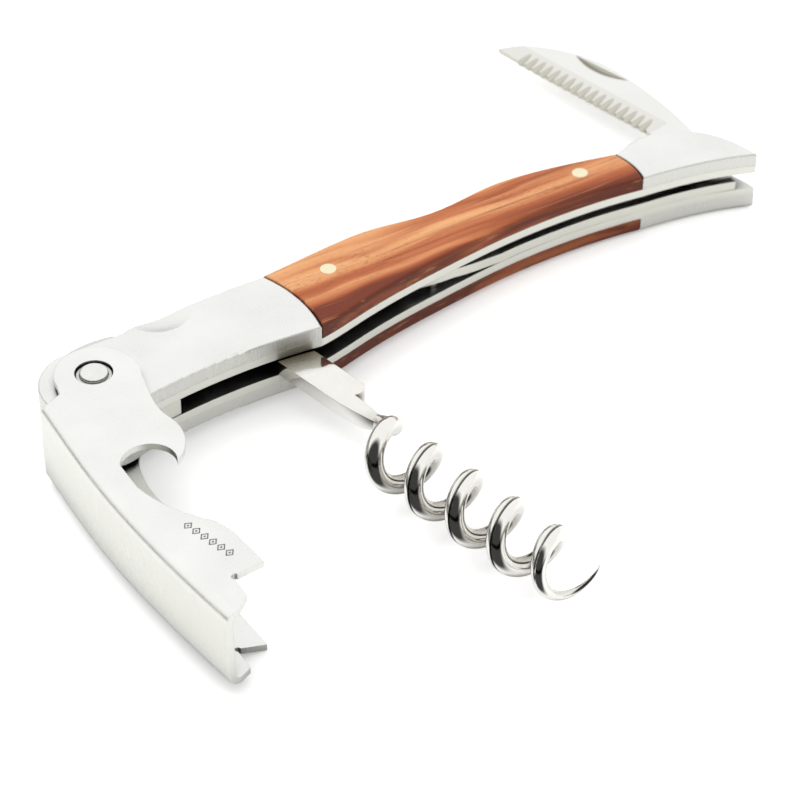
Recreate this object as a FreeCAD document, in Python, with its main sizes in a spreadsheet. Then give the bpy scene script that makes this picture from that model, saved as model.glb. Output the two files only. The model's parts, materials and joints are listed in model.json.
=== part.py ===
import FreeCAD, Part
import math
import os

import Sketcher

# Waiters corkscrew, opened and lying on its flat side.
# +X runs along the handle from the lever end to the blade end, +Y towards the handle's back, +Z up through its
# thickness.
# Everything is drawn around the lever pin's axis, with the handle's underside at height 0. Each sub-part is then
# placed so that the origin lies on the underside of the handle, midway between the two brass scale pins.

V = FreeCAD.Vector
os.makedirs("parts", exist_ok=True)
doc = FreeCAD.newDocument("waiters_corkscrew")

DIMENSIONS = {
    # the handle's layers
    "scale_thickness": 2.3,
    "liner_thickness": 1.3,
    "slot_width": 2.8,
    "edge_round": 0.45,
    "seam_gap": 0.14,
    # where the pins stand, from the lever pin
    "front_pin_along": 41.0,
    "pin_spacing": 45.1,
    "pin_row_across": 4.65,
    "worm_pin_along": 28.0,
    "worm_pin_across": -1.3,
    "blade_pin_along": 106.0,
    "blade_pin_across": 1.0,
    "back_spring_pin_along": 50.0,
    "back_spring_pin_across": 6.6,
    "blade_spring_pin_along": 56.4,
    "blade_spring_pin_across": 0.4,
    "spacer_pin_along": 7.2,
    "spacer_pin_across": -3.2,
    # pin sizes and running clearance
    "scale_pin_diameter": 2.45,
    "lever_pin_diameter": 4.0,
    "worm_pin_diameter": 2.4,
    "blade_pin_diameter": 2.4,
    "spring_pin_diameter": 1.6,
    "blind_depth": 1.2,
    "running_clearance": 0.05,
    # springs
    "blade_spring_thickness": 1.5,
    "fly_width": 7.4,
    "fly_thickness": 1.5,
    # lever
    "lever_sheet": 1.0,
    "lever_width": 13.1,
    "lever_end_width": 12.5,
    "lever_hole_diameter": 5.4,
    "lever_bend_radius": 1.7,
    "bush_recess": 0.4,
    "bush_gap": 0.2,
    "pin_proud": 0.25,
    "pin_end_round": 0.35,
    "notch_relief": 0.45,
    "washer_gap": 0.02,
    "washer_thickness": 0.3,
    "washer_diameter": 9.0,
    # worm
    "shank_thickness": 2.4,
    "shank_width": 5.4,
    "shank_reach": 16.8,
    "tang_radius": 4.2,
    "neck_thickness": 2.2,
    "wire_diameter": 2.7,
    "tip_radius": 0.12,
    "coil_radius": 3.55,
    "coil_offset": 4.6,
    "coil_start": 25.8,
    "coil_pitch": 7.75,
    "coil_turns": 5.0,
    "worm_direction": -79.0,
    # blade
    "blade_thickness": 2.0,
    "blade_edge_thickness": 0.3,
    "blade_tang_radius": 3.0,
    "serration_pitch": 1.65,
    "serration_depth": 0.35,
    "groove_radius": 0.75,
    "nick_radius": 20.0,
    "nick_depth": 0.7,
}

sheet = doc.addObject("Spreadsheet::Sheet", "Sheet")
for row, (alias, value) in enumerate(DIMENSIONS.items(), start=1):
    sheet.set("A%d" % row, alias)
    sheet.set("B%d" % row, "%g" % value)
    sheet.setAlias("B%d" % row, alias)
doc.recompute()


def size(alias):
    """Reads one driving dimension from the sheet."""
    return float(sheet.get(alias))


ORIGIN_X = "-(Sheet.front_pin_along + Sheet.pin_spacing / 2)"
ORIGIN_Y = "-Sheet.pin_row_across"
THICKNESS = "(2 * Sheet.scale_thickness + 2 * Sheet.liner_thickness + Sheet.slot_width)"
SLOT_FLOOR = "(Sheet.scale_thickness + Sheet.liner_thickness)"
SLOT_ROOF = "(Sheet.scale_thickness + Sheet.liner_thickness + Sheet.slot_width)"
MIDDLE = "(%s / 2)" % THICKNESS
CLEAR_THROUGH = "(6 * %s)" % THICKNESS

middle = size("scale_thickness") + size("liner_thickness") + size("slot_width") / 2
outer_top = 2 * middle
slot_floor = size("scale_thickness") + size("liner_thickness")
slot_roof = slot_floor + size("slot_width")
subparts = []


# ---------------------------------------------------------------- drawing helpers

def point(x, y):
    return V(x, y, 0)


def line(start, end):
    return Part.LineSegment(point(*start), point(*end))


def arc(start, through, end):
    return Part.Arc(point(*start), point(*through), point(*end))


def curve(*points):
    spline = Part.BSplineCurve()
    spline.interpolate([point(*p) for p in points])
    return spline


def polyline(*points):
    return [line(a, b) for a, b in zip(points, points[1:])]


def origin_plane(body, plane):
    return next(feature for feature in body.Origin.OriginFeatures if feature.Role == plane)


def new_body(name):
    body = doc.addObject("PartDesign::Body", name)
    body.Label = name
    return body


def new_sketch(body, name, plane="XY_Plane", height=None):
    sketch = body.newObject("Sketcher::SketchObject", name)
    sketch.AttachmentSupport = [(origin_plane(body, plane), "")]
    sketch.MapMode = "FlatFace"
    if height is not None:
        sketch.setExpression(".AttachmentOffset.Base.z", height)
    return sketch


def draw_loop(sketch, stretches):
    """Adds a closed chain of stretches and ties each shared corner."""
    first = sketch.GeometryCount
    for stretch in stretches:
        sketch.addGeometry(stretch)
    count = len(stretches)
    for i in range(count):
        this, following = first + i, first + (i + 1) % count
        pairs = [(a, b, sketch.getPoint(this, a).distanceToPoint(sketch.getPoint(following, b)))
                 for a in (1, 2) for b in (1, 2)]
        end, start, gap = min(pairs, key=lambda pair: pair[2])
        if gap > 1e-6:
            raise RuntimeError("open corner in " + sketch.Label)
        sketch.addConstraint(Sketcher.Constraint("Coincident", this, end, following, start))


def pad(body, sketch, length, midplane=False):
    feature = body.newObject("PartDesign::Pad", "Pad")
    feature.Profile = sketch
    feature.setExpression("Length", length)
    if midplane:
        feature.SideType = "Symmetric"
    body.Tip = feature
    doc.recompute()
    return feature


def cut(body, sketch, depth, both_ways):
    """Pockets a profile and checks that material went."""
    before = body.Shape.Volume
    feature = body.newObject("PartDesign::Pocket", "Pocket")
    feature.Profile = sketch
    feature.setExpression("Length", depth)
    if both_ways:
        feature.SideType = "Symmetric"
    body.Tip = feature
    doc.recompute()
    if body.Shape.Volume >= before:
        raise RuntimeError("pocket cut nothing in " + body.Label)
    return feature


def cut_through(body, sketch, depth):
    """Cuts a profile to both sides of its sketch, half the depth each way."""
    return cut(body, sketch, depth, True)


def cut_down(body, sketch, depth):
    """Cuts a profile against its sketch's normal only."""
    return cut(body, sketch, depth, False)


def bore(body, along, across, radius, start, depth):
    """Cuts a round hole parallel to Z from the height start, depth tall."""
    hole = body.newObject("PartDesign::SubtractiveCylinder", "Bore")
    hole.AttachmentSupport = [(origin_plane(body, "XY_Plane"), "")]
    hole.MapMode = "FlatFace"
    hole.setExpression(".AttachmentOffset.Base.x", along)
    hole.setExpression(".AttachmentOffset.Base.y", across)
    hole.setExpression(".AttachmentOffset.Base.z", start)
    hole.setExpression("Radius", radius)
    hole.setExpression("Height", depth)
    body.Tip = hole
    doc.recompute()
    return hole


def flat_face(shape, height):
    """Names the level face of a shape at a height."""
    for index, face in enumerate(shape.Faces, start=1):
        box = face.BoundBox
        if abs(box.ZMin - height) < 1e-4 and abs(box.ZMax - height) < 1e-4:
            return "Face%d" % index
    raise RuntimeError("no level face at %g" % height)


def round_rim(body, height, radius="Sheet.edge_round"):
    base = body.Tip
    fillet = body.newObject("PartDesign::Fillet", "Rounding")
    fillet.Base = (base, [flat_face(base.Shape, height)])
    fillet.setExpression("Radius", radius)
    body.Tip = fillet
    doc.recompute()
    return fillet


def finish(obj, name, base_x=ORIGIN_X, base_y=ORIGIN_Y, base_z="0"):
    """Gives a sub-part its label and its place in the row's frame."""
    obj.Label = name
    for axis, expression in zip("xyz", (base_x, base_y, base_z)):
        obj.setExpression(".Placement.Base." + axis, expression)
    subparts.append(obj)
    return obj


# ------------------------------------------------- the handle's plan outline, in named stretches

SEAM_HEAD_BACK = (32.1, 8.4)
SEAM_HEAD_BELLY = (33.0, -6.5)
SEAM_TAIL_BACK = (93.7, 6.0)
SEAM_TAIL_BELLY = (93.5, -1.6)
HEAD_BELLY = (3.5, -6.9)
HEAD_BACK = (-1.6, 7.75)
STEP_FOOT = (8.6, 7.6)
STEP_TOP = (9.3, 8.0)
TAIL_CORNER = (112.0, -5.9)


def shifted(place, dx):
    return (place[0] + dx, place[1])


def head_round():
    return [arc(HEAD_BELLY, (-7.75, 1.2), HEAD_BACK)]


def head_back(end=SEAM_HEAD_BACK):
    return [line(HEAD_BACK, STEP_FOOT), line(STEP_FOOT, STEP_TOP), arc(STEP_TOP, (20.0, 8.35), end)]


def scale_back(dx=0.0):
    return [curve(shifted(SEAM_HEAD_BACK, dx), (44.0, 9.6), (51.5, 9.75), (60.0, 8.5), (65.5, 8.6),
                  (72.0, 9.4), (82.0, 8.6), shifted(SEAM_TAIL_BACK, -dx))]


def tail_back():
    return [curve(SEAM_TAIL_BACK, (96.3, 6.7), (99.6, 7.5), (104.0, 6.6), (108.0, 4.1), (110.6, 0.0),
                  TAIL_CORNER)]


def tail_belly():
    return [curve(TAIL_CORNER, (109.0, -4.75), (103.5, -3.15), (98.5, -2.2), SEAM_TAIL_BELLY)]


def scale_belly(dx=0.0):
    return [curve(shifted(SEAM_TAIL_BELLY, -dx), (88.0, -0.85), (79.0, -0.3), (67.5, -0.65), (58.0, -1.75),
                  (49.0, -3.05), (41.0, -4.7), (36.0, -5.95), shifted(SEAM_HEAD_BELLY, dx))]


def head_belly():
    return [arc(SEAM_HEAD_BELLY, (18.5, -5.5), HEAD_BELLY)]


def head_seam(dx=0.0, reverse=False):
    ends = [shifted(SEAM_HEAD_BACK, dx), shifted((33.7, 1.6), dx), shifted(SEAM_HEAD_BELLY, dx)]
    return [arc(*(ends[::-1] if reverse else ends))]


def tail_seam(dx=0.0, reverse=False):
    ends = [shifted(SEAM_TAIL_BACK, dx), shifted((94.2, 2.2), dx), shifted(SEAM_TAIL_BELLY, dx)]
    return [arc(*(ends[::-1] if reverse else ends))]


def liner_outline():
    return (head_round() + head_back() + scale_back() + tail_back()
            + tail_belly() + scale_belly() + head_belly())


def head_bolster_outline():
    return head_round() + head_back() + head_seam() + head_belly()


def tail_bolster_outline():
    return tail_back() + tail_belly() + tail_seam(reverse=True)


def scale_outline():
    gap = size("seam_gap")
    return scale_back(gap) + tail_seam(-gap) + scale_belly(gap) + head_seam(gap, reverse=True)


# ---------------------------------------------------------------- layers: liners, bolsters and wooden scales

SCALE_PIN_HOLE = "Sheet.scale_pin_diameter / 2"
SPRING_PIN_HOLE = "Sheet.spring_pin_diameter / 2"
LEVER_PIN_HOLE = "Sheet.lever_pin_diameter / 2 + Sheet.running_clearance"
REAR_PIN_ALONG = "Sheet.front_pin_along + Sheet.pin_spacing"
FIXED_PINS = {
    "worm": ("Sheet.worm_pin_along", "Sheet.worm_pin_across", "Sheet.worm_pin_diameter / 2"),
    "blade": ("Sheet.blade_pin_along", "Sheet.blade_pin_across", "Sheet.blade_pin_diameter / 2"),
    "back_spring": ("Sheet.back_spring_pin_along", "Sheet.back_spring_pin_across", SPRING_PIN_HOLE),
    "blade_spring": ("Sheet.blade_spring_pin_along", "Sheet.blade_spring_pin_across", SPRING_PIN_HOLE),
    "spacer": ("Sheet.spacer_pin_along", "Sheet.spacer_pin_across", SPRING_PIN_HOLE),
}


def layer(name, outline, floor, thickness):
    """A flat plate of the handle: an outline padded up from its floor height."""
    body = new_body(name)
    sketch = new_sketch(body, "Outline", height=floor)
    draw_loop(sketch, outline)
    pad(body, sketch, thickness)
    return body


def bore_fixed_pin(body, pin, start, depth):
    along, across, radius = FIXED_PINS[pin]
    bore(body, along, across, radius, start, depth)


def make_liner(name, floor):
    body = layer(name, liner_outline(), floor, "Sheet.liner_thickness")
    bore(body, "0", "0", LEVER_PIN_HOLE, floor, "Sheet.liner_thickness")
    bore(body, "Sheet.front_pin_along", "Sheet.pin_row_across", SCALE_PIN_HOLE,
         floor, "Sheet.liner_thickness")
    bore(body, REAR_PIN_ALONG, "Sheet.pin_row_across", SCALE_PIN_HOLE, floor, "Sheet.liner_thickness")
    for pin in FIXED_PINS:
        bore_fixed_pin(body, pin, floor, "Sheet.liner_thickness")
    return finish(body, name)


def blind_floor(upper):
    """Height at which a blind bore starts in an outer layer."""
    return "%s + Sheet.liner_thickness" % SLOT_ROOF if upper else "Sheet.scale_thickness - Sheet.blind_depth"


def cut_thumb_facet(body, upper):
    """A shallow hollow ground into the back corner of the head bolster."""
    ball_radius, ball_rise, ball_at = 18.0, 17.35, (15.1, 9.1)
    ball = body.newObject("PartDesign::SubtractiveSphere", "ThumbFacet")
    ball.AttachmentSupport = [(origin_plane(body, "XY_Plane"), "")]
    ball.MapMode = "FlatFace"
    height = outer_top + ball_rise if upper else -ball_rise
    ball.AttachmentOffset = FreeCAD.Placement(V(*ball_at, height), FreeCAD.Rotation())
    ball.Radius = ball_radius
    body.Tip = ball
    doc.recompute()


def make_head_bolster(name, upper):
    floor = "%s + Sheet.liner_thickness" % SLOT_ROOF if upper else "0"
    body = layer(name, head_bolster_outline(), floor, "Sheet.scale_thickness")
    round_rim(body, outer_top if upper else 0.0)
    cut_thumb_facet(body, upper)
    bore(body, "0", "0", LEVER_PIN_HOLE, floor, "Sheet.scale_thickness")
    for pin in ("worm", "spacer"):
        bore_fixed_pin(body, pin, blind_floor(upper), "Sheet.blind_depth")
    return finish(body, name)


def make_tail_bolster(name, upper):
    floor = "%s + Sheet.liner_thickness" % SLOT_ROOF if upper else "0"
    body = layer(name, tail_bolster_outline(), floor, "Sheet.scale_thickness")
    round_rim(body, outer_top if upper else 0.0)
    bore_fixed_pin(body, "blade", blind_floor(upper), "Sheet.blind_depth")
    return finish(body, name)


def make_scale(name, upper):
    floor = "%s + Sheet.liner_thickness" % SLOT_ROOF if upper else "0"
    body = layer(name, scale_outline(), floor, "Sheet.scale_thickness")
    round_rim(body, outer_top if upper else 0.0)
    for along in ("Sheet.front_pin_along", REAR_PIN_ALONG):
        bore(body, along, "Sheet.pin_row_across", SCALE_PIN_HOLE, floor, "Sheet.scale_thickness")
    for pin in ("back_spring", "blade_spring"):
        bore_fixed_pin(body, pin, blind_floor(upper), "Sheet.blind_depth")
    return finish(body, name)


make_liner("lower_liner", "Sheet.scale_thickness")
make_liner("upper_liner", SLOT_ROOF)
make_head_bolster("lower_head_bolster", False)
make_head_bolster("upper_head_bolster", True)
make_tail_bolster("lower_tail_bolster", False)
make_tail_bolster("upper_tail_bolster", True)
make_scale("lower_scale", False)
make_scale("upper_scale", True)


# ---------------------------------------------------------------- the slot's own pieces

def make_back_spring():
    """The spring along the back, pressed by the worm's tang, with a plain tab at its lever end."""
    end, inner_end, inner_middle = 0.9, 3.9, (31.0, 3.05)
    tip, tip_middle, tip_foot = (54.2, 9.4), (55.3, 7.2), (53.0, 4.9)
    body = layer("back_spring",
                 polyline((end, inner_end), (end, 7.7), STEP_FOOT, STEP_TOP)
                 + [arc(STEP_TOP, (20.0, 8.35), SEAM_HEAD_BACK),
                    curve(SEAM_HEAD_BACK, (44.0, 9.6), (51.5, 9.75), tip),
                    arc(tip, tip_middle, tip_foot),
                    curve(tip_foot, (46.0, 2.5), (41.0, 2.3), (36.0, 2.6), inner_middle),
                    line(inner_middle, (end, inner_end))],
                 SLOT_FLOOR, "Sheet.slot_width")
    tab = new_sketch(body, "FlyTab", height="%s - Sheet.fly_width / 2" % MIDDLE)
    stand_off, bulge, cheek = 0.2, 0.35, 0.9
    low = STEP_FOOT[1] + stand_off
    high = low + size("fly_thickness") - 0.1
    left, right = (0.2, low), (8.2, low)
    left_top, right_top = (1.2, high), (7.3, high)
    draw_loop(tab, [line(left, right), arc(right, (8.1, low + cheek), right_top),
                    arc(right_top, (4.3, high + bulge), left_top), arc(left_top, (0.3, low + cheek), left)])
    pad(body, tab, "Sheet.fly_width")
    root = new_sketch(body, "TabRoot", height=SLOT_FLOOR)
    root_end, root_foot, root_top = 8.0, low - 0.5, low + 0.3
    draw_loop(root, polyline((end, root_foot), (root_end, root_foot), (root_end, root_top), (end, root_top),
                             (end, root_foot)))
    pad(body, root, "Sheet.slot_width")
    bore(body, "Sheet.front_pin_along", "Sheet.pin_row_across", SCALE_PIN_HOLE,
         SLOT_FLOOR, "Sheet.slot_width")
    bore_fixed_pin(body, "back_spring", SLOT_FLOOR, "Sheet.slot_width")
    return finish(body, "back_spring")


def make_head_spacer():
    """The block that fills the slot's belly side at the lever pin."""
    body = layer("head_spacer",
                 [arc(HEAD_BELLY, (-7.75, 1.2), (-7.14, 3.3)), line((-7.14, 3.3), (10.2, 3.0)),
                  line((10.2, 3.0), (10.2, -5.8)), arc((10.2, -5.8), (7.0, -6.25), HEAD_BELLY)],
                 SLOT_FLOOR, "Sheet.slot_width")
    bore(body, "0", "0", LEVER_PIN_HOLE, SLOT_FLOOR, "Sheet.slot_width")
    bore_fixed_pin(body, "spacer", SLOT_FLOOR, "Sheet.slot_width")
    return finish(body, "head_spacer")


def make_blade_spring():
    """The cranked spring along the belly, under the blade: it runs from the upper liner down to the lower one."""
    body = new_body("blade_spring")
    profile = new_sketch(body, "CrankProfile", plane="XZ_Plane")
    sheet_thickness = size("blade_spring_thickness")
    high, low = slot_roof - sheet_thickness, slot_floor
    start, bend_start, bend_end, stop = 49.0, 59.0, 68.0, 109.2
    draw_loop(profile, polyline((start, high), (bend_start, high), (bend_end, low), (stop, low),
                                (stop, low + sheet_thickness), (bend_end, low + sheet_thickness),
                                (bend_start, slot_roof), (start, slot_roof), (start, high)))
    pad(body, profile, CLEAR_THROUGH, midplane=True)
    plan = new_sketch(body, "PlanTrim")
    left, right, reach = start - 1.0, stop + 1.0, 40.0
    draw_loop(plan, polyline((left, -reach), (right, -reach), (right, reach), (left, reach), (left, -reach)))
    along, across = size("blade_spring_pin_along"), size("blade_spring_pin_across")
    head, heel = (51.6, -0.45), (51.9, 1.8)
    outer_end, inner_end = (stop, -4.75), (stop, -3.4)
    draw_loop(plan, [curve(outer_end, (103.5, -3.15), (98.5, -2.2), SEAM_TAIL_BELLY, (88.0, -0.85), (79.0, -0.3),
                           (67.5, -0.65), (61.0, -1.4), (56.5, -1.35), head),
                     arc(head, (50.9, 0.8), heel),
                     curve(heel, (54.0, 2.3), (along, across + 1.9), (59.0, 0.9), (62.0, 0.3), (67.5, 0.55),
                           (79.0, 0.95), (88.0, 0.5), (93.5, -0.3), (98.5, -1.1), (103.5, -2.2), inner_end),
                     line(inner_end, outer_end)])
    cut_through(body, plan, CLEAR_THROUGH)
    bore_fixed_pin(body, "blade_spring", SLOT_FLOOR, "Sheet.slot_width")
    return finish(body, "blade_spring")


make_back_spring()
make_head_spacer()
make_blade_spring()


# ---------------------------------------------------------------- pins

def make_pin(name, along, across, radius, start, height):
    """A plain round pin standing parallel to Z."""
    pin = doc.addObject("Part::Cylinder", name)
    pin.setExpression("Radius", radius)
    pin.setExpression("Height", height)
    finish(pin, name, "%s + %s" % (ORIGIN_X, along), "%s + %s" % (ORIGIN_Y, across), start)
    return pin


def make_hidden_pin(name, pin):
    along, across, radius = FIXED_PINS[pin]
    height = "Sheet.slot_width + 2 * Sheet.liner_thickness + 2 * Sheet.blind_depth"
    return make_pin(name, along, across, radius, "Sheet.scale_thickness - Sheet.blind_depth", height)


def make_rear_scale_pins():
    """Two short pins, one a side, that stay out of the blade's slot."""
    pins = []
    for name, start in (("LowerRearPin", "0"), ("UpperRearPin", SLOT_ROOF)):
        pin = doc.addObject("Part::Cylinder", name)
        pin.setExpression("Radius", SCALE_PIN_HOLE)
        pin.setExpression("Height", SLOT_FLOOR)
        pin.setExpression(".Placement.Base.x", REAR_PIN_ALONG)
        pin.setExpression(".Placement.Base.y", "Sheet.pin_row_across")
        pin.setExpression(".Placement.Base.z", start)
        pins.append(pin)
    group = doc.addObject("Part::Compound", "rear_scale_pins")
    group.Links = pins
    return finish(group, "rear_scale_pins")


make_pin("front_scale_pin", "Sheet.front_pin_along", "Sheet.pin_row_across", SCALE_PIN_HOLE, "0", THICKNESS)
make_rear_scale_pins()
make_hidden_pin("worm_pin", "worm")
make_hidden_pin("blade_pin", "blade")
make_hidden_pin("back_spring_pin", "back_spring")
make_hidden_pin("blade_spring_pin", "blade_spring")
make_hidden_pin("head_spacer_pin", "spacer")


# ---------------------------------------------------------------- lever, with its pin, bushes and washers

LEVER_FLOOR = "(%s - Sheet.lever_width / 2)" % MIDDLE
LEVER_ROOF = "(%s + Sheet.lever_width / 2)" % MIDDLE
BELOW_LEVER = "(%s - Sheet.lever_width)" % MIDDLE


def make_rings(name, outer, inner, low_start, high_start, height):
    """Two equal rings around the lever pin, one on each side of the handle."""
    rings = []
    for side, start in (("Lower", low_start), ("Upper", high_start)):
        tube = []
        for role, radius in (("Outer", outer), ("Inner", inner)):
            cylinder = doc.addObject("Part::Cylinder", name + side + role)
            cylinder.setExpression("Radius", radius)
            cylinder.setExpression("Height", height)
            cylinder.setExpression(".Placement.Base.z", start)
            tube.append(cylinder)
        ring = doc.addObject("Part::Cut", name + side)
        ring.Base, ring.Tool = tube
        rings.append(ring)
    group = doc.addObject("Part::Compound", name)
    group.Links = rings
    return finish(group, name)


def make_lever_pin():
    body = new_body("lever_pin")
    shaft = body.newObject("PartDesign::AdditiveCylinder", "Shaft")
    shaft.AttachmentSupport = [(origin_plane(body, "XY_Plane"), "")]
    shaft.MapMode = "FlatFace"
    shaft.setExpression(".AttachmentOffset.Base.z", LEVER_FLOOR + " - Sheet.pin_proud")
    shaft.setExpression("Radius", "Sheet.lever_pin_diameter / 2")
    shaft.setExpression("Height", "Sheet.lever_width + 2 * Sheet.pin_proud")
    body.Tip = shaft
    doc.recompute()
    fillet = body.newObject("PartDesign::Fillet", "PeenedEnds")
    half = size("lever_width") / 2 + size("pin_proud")
    fillet.Base = (shaft, [flat_face(shaft.Shape, middle + half), flat_face(shaft.Shape, middle - half)])
    fillet.setExpression("Radius", "Sheet.pin_end_round")
    body.Tip = fillet
    return finish(body, "lever_pin")


def channel_section(web, half_width, splay, reach=9.0):
    """Half-open U section of the lever: web outer face at x = web, flanges opening by the splay angle."""
    wall, bend = size("lever_sheet"), size("lever_bend_radius")
    lean = math.tan(math.radians(splay))
    inner_bend = bend - wall
    tip_out = half_width + (reach - web - bend) * lean
    tip_in = tip_out - wall
    turn = bend * (1 - math.sqrt(0.5))
    inner_turn = inner_bend * (1 - math.sqrt(0.5))
    inside = web + wall

    def side(sign):
        out = [line((web, 0.0), (web, sign * (half_width - bend))),
               arc((web, sign * (half_width - bend)), (web + turn, sign * (half_width - turn)),
                   (web + bend, sign * half_width)),
               line((web + bend, sign * half_width), (reach, sign * tip_out))]
        back = [line((reach, sign * tip_out), (reach, sign * tip_in)),
                line((reach, sign * tip_in), (inside + inner_bend, sign * (half_width - wall))),
                arc((inside + inner_bend, sign * (half_width - wall)),
                    (inside + inner_turn, sign * (half_width - wall - inner_turn)),
                    (inside, sign * (half_width - wall - inner_bend))),
                line((inside, sign * (half_width - wall - inner_bend)), (inside, 0.0))]
        return out + back

    upper = side(1)
    lower = side(-1)

    def turned(piece):
        if isinstance(piece, Part.LineSegment):
            return Part.LineSegment(piece.EndPoint, piece.StartPoint)
        mid = piece.value((piece.FirstParameter + piece.LastParameter) / 2)
        return Part.Arc(piece.EndPoint, mid, piece.StartPoint)

    return upper + [turned(piece) for piece in reversed(lower)]


EYE_FOOT = (5.4, -3.8)
HOOK_TIP = (0.3, -22.9)
NOTCH_CORNER = (-5.2, -46.7)


def lever_outline():
    """Side view of the lever, hanging from its pin towards -Y."""
    eye = 5.6
    return [arc((-5.6, 0.3), (0.6, eye), (5.9, 0.6)),
            arc((5.9, 0.6), (6.15, -1.2), EYE_FOOT),
            curve(EYE_FOOT, (4.3, -8.0), (3.7, -11.6), (4.0, -14.6)),
            arc((4.0, -14.6), (3.7, -18.8), (1.3, -22.3)),
            line((1.3, -22.3), HOOK_TIP),
            arc(HOOK_TIP, (-2.9, -17.2), (-6.5, -19.4)),
            line((-6.5, -19.4), (-6.75, -24.6)),
            arc((-6.75, -24.6), (-5.4, -30.0), (-1.9, -36.6)),
            line((-1.9, -36.6), (-1.1, -40.0)),
            line((-1.1, -40.0), (-0.9, -47.3)),
            line((-0.9, -47.3), NOTCH_CORNER),
            line(NOTCH_CORNER, (-5.4, -50.7)),
            line((-5.4, -50.7), (-7.5, -52.0)),
            line((-7.5, -52.0), (-14.0, -52.3)),
            line((-14.0, -52.3), (-14.0, -3.0)),
            line((-14.0, -3.0), (-8.4, -2.6)),
            line((-8.4, -2.6), (-6.2, -1.7)),
            line((-6.2, -1.7), (-5.6, 0.3))]


def make_lever():
    body = new_body("lever")
    width, end_width = size("lever_width") / 2, size("lever_end_width") / 2
    # distance from the pin towards -Y, the web's outer face, half the width, and the flanges' splay in degrees
    stations = [(-8.0, -9.6, width, 0.0), (3.0, -9.85, width, 0.0), (14.0, -10.75, width - 0.05, 0.6),
                (27.0, -11.1, width - 0.15, 3.6), (40.0, -10.5, end_width + 0.05, 9.0),
                (54.0, -9.1, end_width, 14.0)]
    sections = []
    for away, web, half, splay in stations:
        sketch = new_sketch(body, "Section", plane="XZ_Plane")
        sketch.AttachmentOffset = FreeCAD.Placement(V(0, middle, away), FreeCAD.Rotation())
        draw_loop(sketch, channel_section(web, half, splay))
        sections.append(sketch)
    loft = body.newObject("PartDesign::AdditiveLoft", "Channel")
    loft.Profile = sections[0]
    loft.Sections = sections[1:]
    body.Tip = loft
    doc.recompute()
    trim = new_sketch(body, "SideTrim", height=MIDDLE)
    draw_loop(trim, polyline((-30.0, -70.0), (30.0, -70.0), (30.0, 30.0), (-30.0, 30.0), (-30.0, -70.0)))
    draw_loop(trim, lever_outline())
    cut_through(body, trim, CLEAR_THROUGH)
    slim = new_sketch(body, "LowerHookTrim", height=MIDDLE)
    aside = HOOK_TIP[0] + 9.0
    draw_loop(slim, [curve(EYE_FOOT, (2.9, -6.2), (1.6, -9.2), (0.9, -12.5), (0.75, -15.5), (0.9, -19.0),
                           HOOK_TIP)]
              + polyline(HOOK_TIP, (aside, HOOK_TIP[1]), (aside, EYE_FOOT[1]), EYE_FOOT))
    cut_down(body, slim, CLEAR_THROUGH)
    bore(body, "%g" % (NOTCH_CORNER[0] + 0.2), "%g" % (NOTCH_CORNER[1] - 0.2), "Sheet.notch_relief",
         BELOW_LEVER, "2 * Sheet.lever_width")
    bore(body, "0", "0", "Sheet.lever_hole_diameter / 2", BELOW_LEVER, "2 * Sheet.lever_width")
    return finish(body, "lever")


make_lever_pin()
make_rings("lever_bushes", "Sheet.lever_hole_diameter / 2 - Sheet.bush_gap",
           "Sheet.lever_pin_diameter / 2 + Sheet.running_clearance",
           LEVER_FLOOR + " + Sheet.bush_recess", LEVER_ROOF + " - Sheet.lever_sheet",
           "Sheet.lever_sheet - Sheet.bush_recess")
make_rings("lever_washers", "Sheet.washer_diameter / 2",
           "Sheet.lever_pin_diameter / 2 + Sheet.running_clearance",
           "-(Sheet.washer_gap + Sheet.washer_thickness)", THICKNESS + " + Sheet.washer_gap",
           "Sheet.washer_thickness")
make_lever()


# ---------------------------------------------------------------- worm

SEAM_GAP = 0.005    # widest gap between neighbouring skins that is sewn shut


def swept_skin(spine, profiles):
    """The open round skin along a spine through its profiles, as a list of faces."""
    skin = Part.BRepOffsetAPI.MakePipeShell(spine)
    skin.setFrenetMode(True)
    for profile in profiles:
        skin.add(profile)
    skin.build()
    return skin.shape().Faces


def coil_point(turn):
    """Centre of the wire after a number of turns, in the worm's own frame: u along it, v to the blade's side."""
    angle = 2 * math.pi * turn
    return V(size("coil_start") + size("coil_pitch") * turn,
             -size("coil_offset") + size("coil_radius") * math.cos(angle),
             size("coil_radius") * math.sin(angle))


def coil_direction(turn):
    angle = 2 * math.pi * turn
    along = V(size("coil_pitch"), -2 * math.pi * size("coil_radius") * math.sin(angle),
              2 * math.pi * size("coil_radius") * math.cos(angle))
    return along.normalize()


def ring_wire(centre, direction, radius, seam):
    """A round profile across a direction, with its seam on the side that the vector seam points to."""
    ring = Part.makeCircle(radius)
    ring.Placement = FreeCAD.Placement(centre, FreeCAD.Rotation(seam, V(0, 0, 0), direction, "ZXY"))
    return Part.Wire([ring])


def coil_ring(turn, radius):
    """The wire's round section after a number of turns, its seam facing away from the coil's axis."""
    centre = coil_point(turn)
    return ring_wire(centre, coil_direction(turn), radius, V(0, centre.y + size("coil_offset"), centre.z))


def helix_spine(start_turn, end_turn):
    """Right-handed helix about the line v = -coil_offset, from one turn count to another."""
    length = size("coil_pitch") * (end_turn - start_turn)
    spine = Part.makeHelix(size("coil_pitch"), length, size("coil_radius"))
    # the helix grows along +Z from +X: turn it so that it grows along u and starts on the blade's side
    spine.rotate(V(0, 0, 0), V(0, 0, 1), 360.0 * start_turn)
    frame = FreeCAD.Matrix(0, 0, 1, size("coil_start") + size("coil_pitch") * start_turn,
                           1, 0, 0, -size("coil_offset"),
                           0, 1, 0, 0,
                           0, 0, 0, 1)
    return Part.Wire(spine.transformGeometry(frame).Edges)


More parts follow.
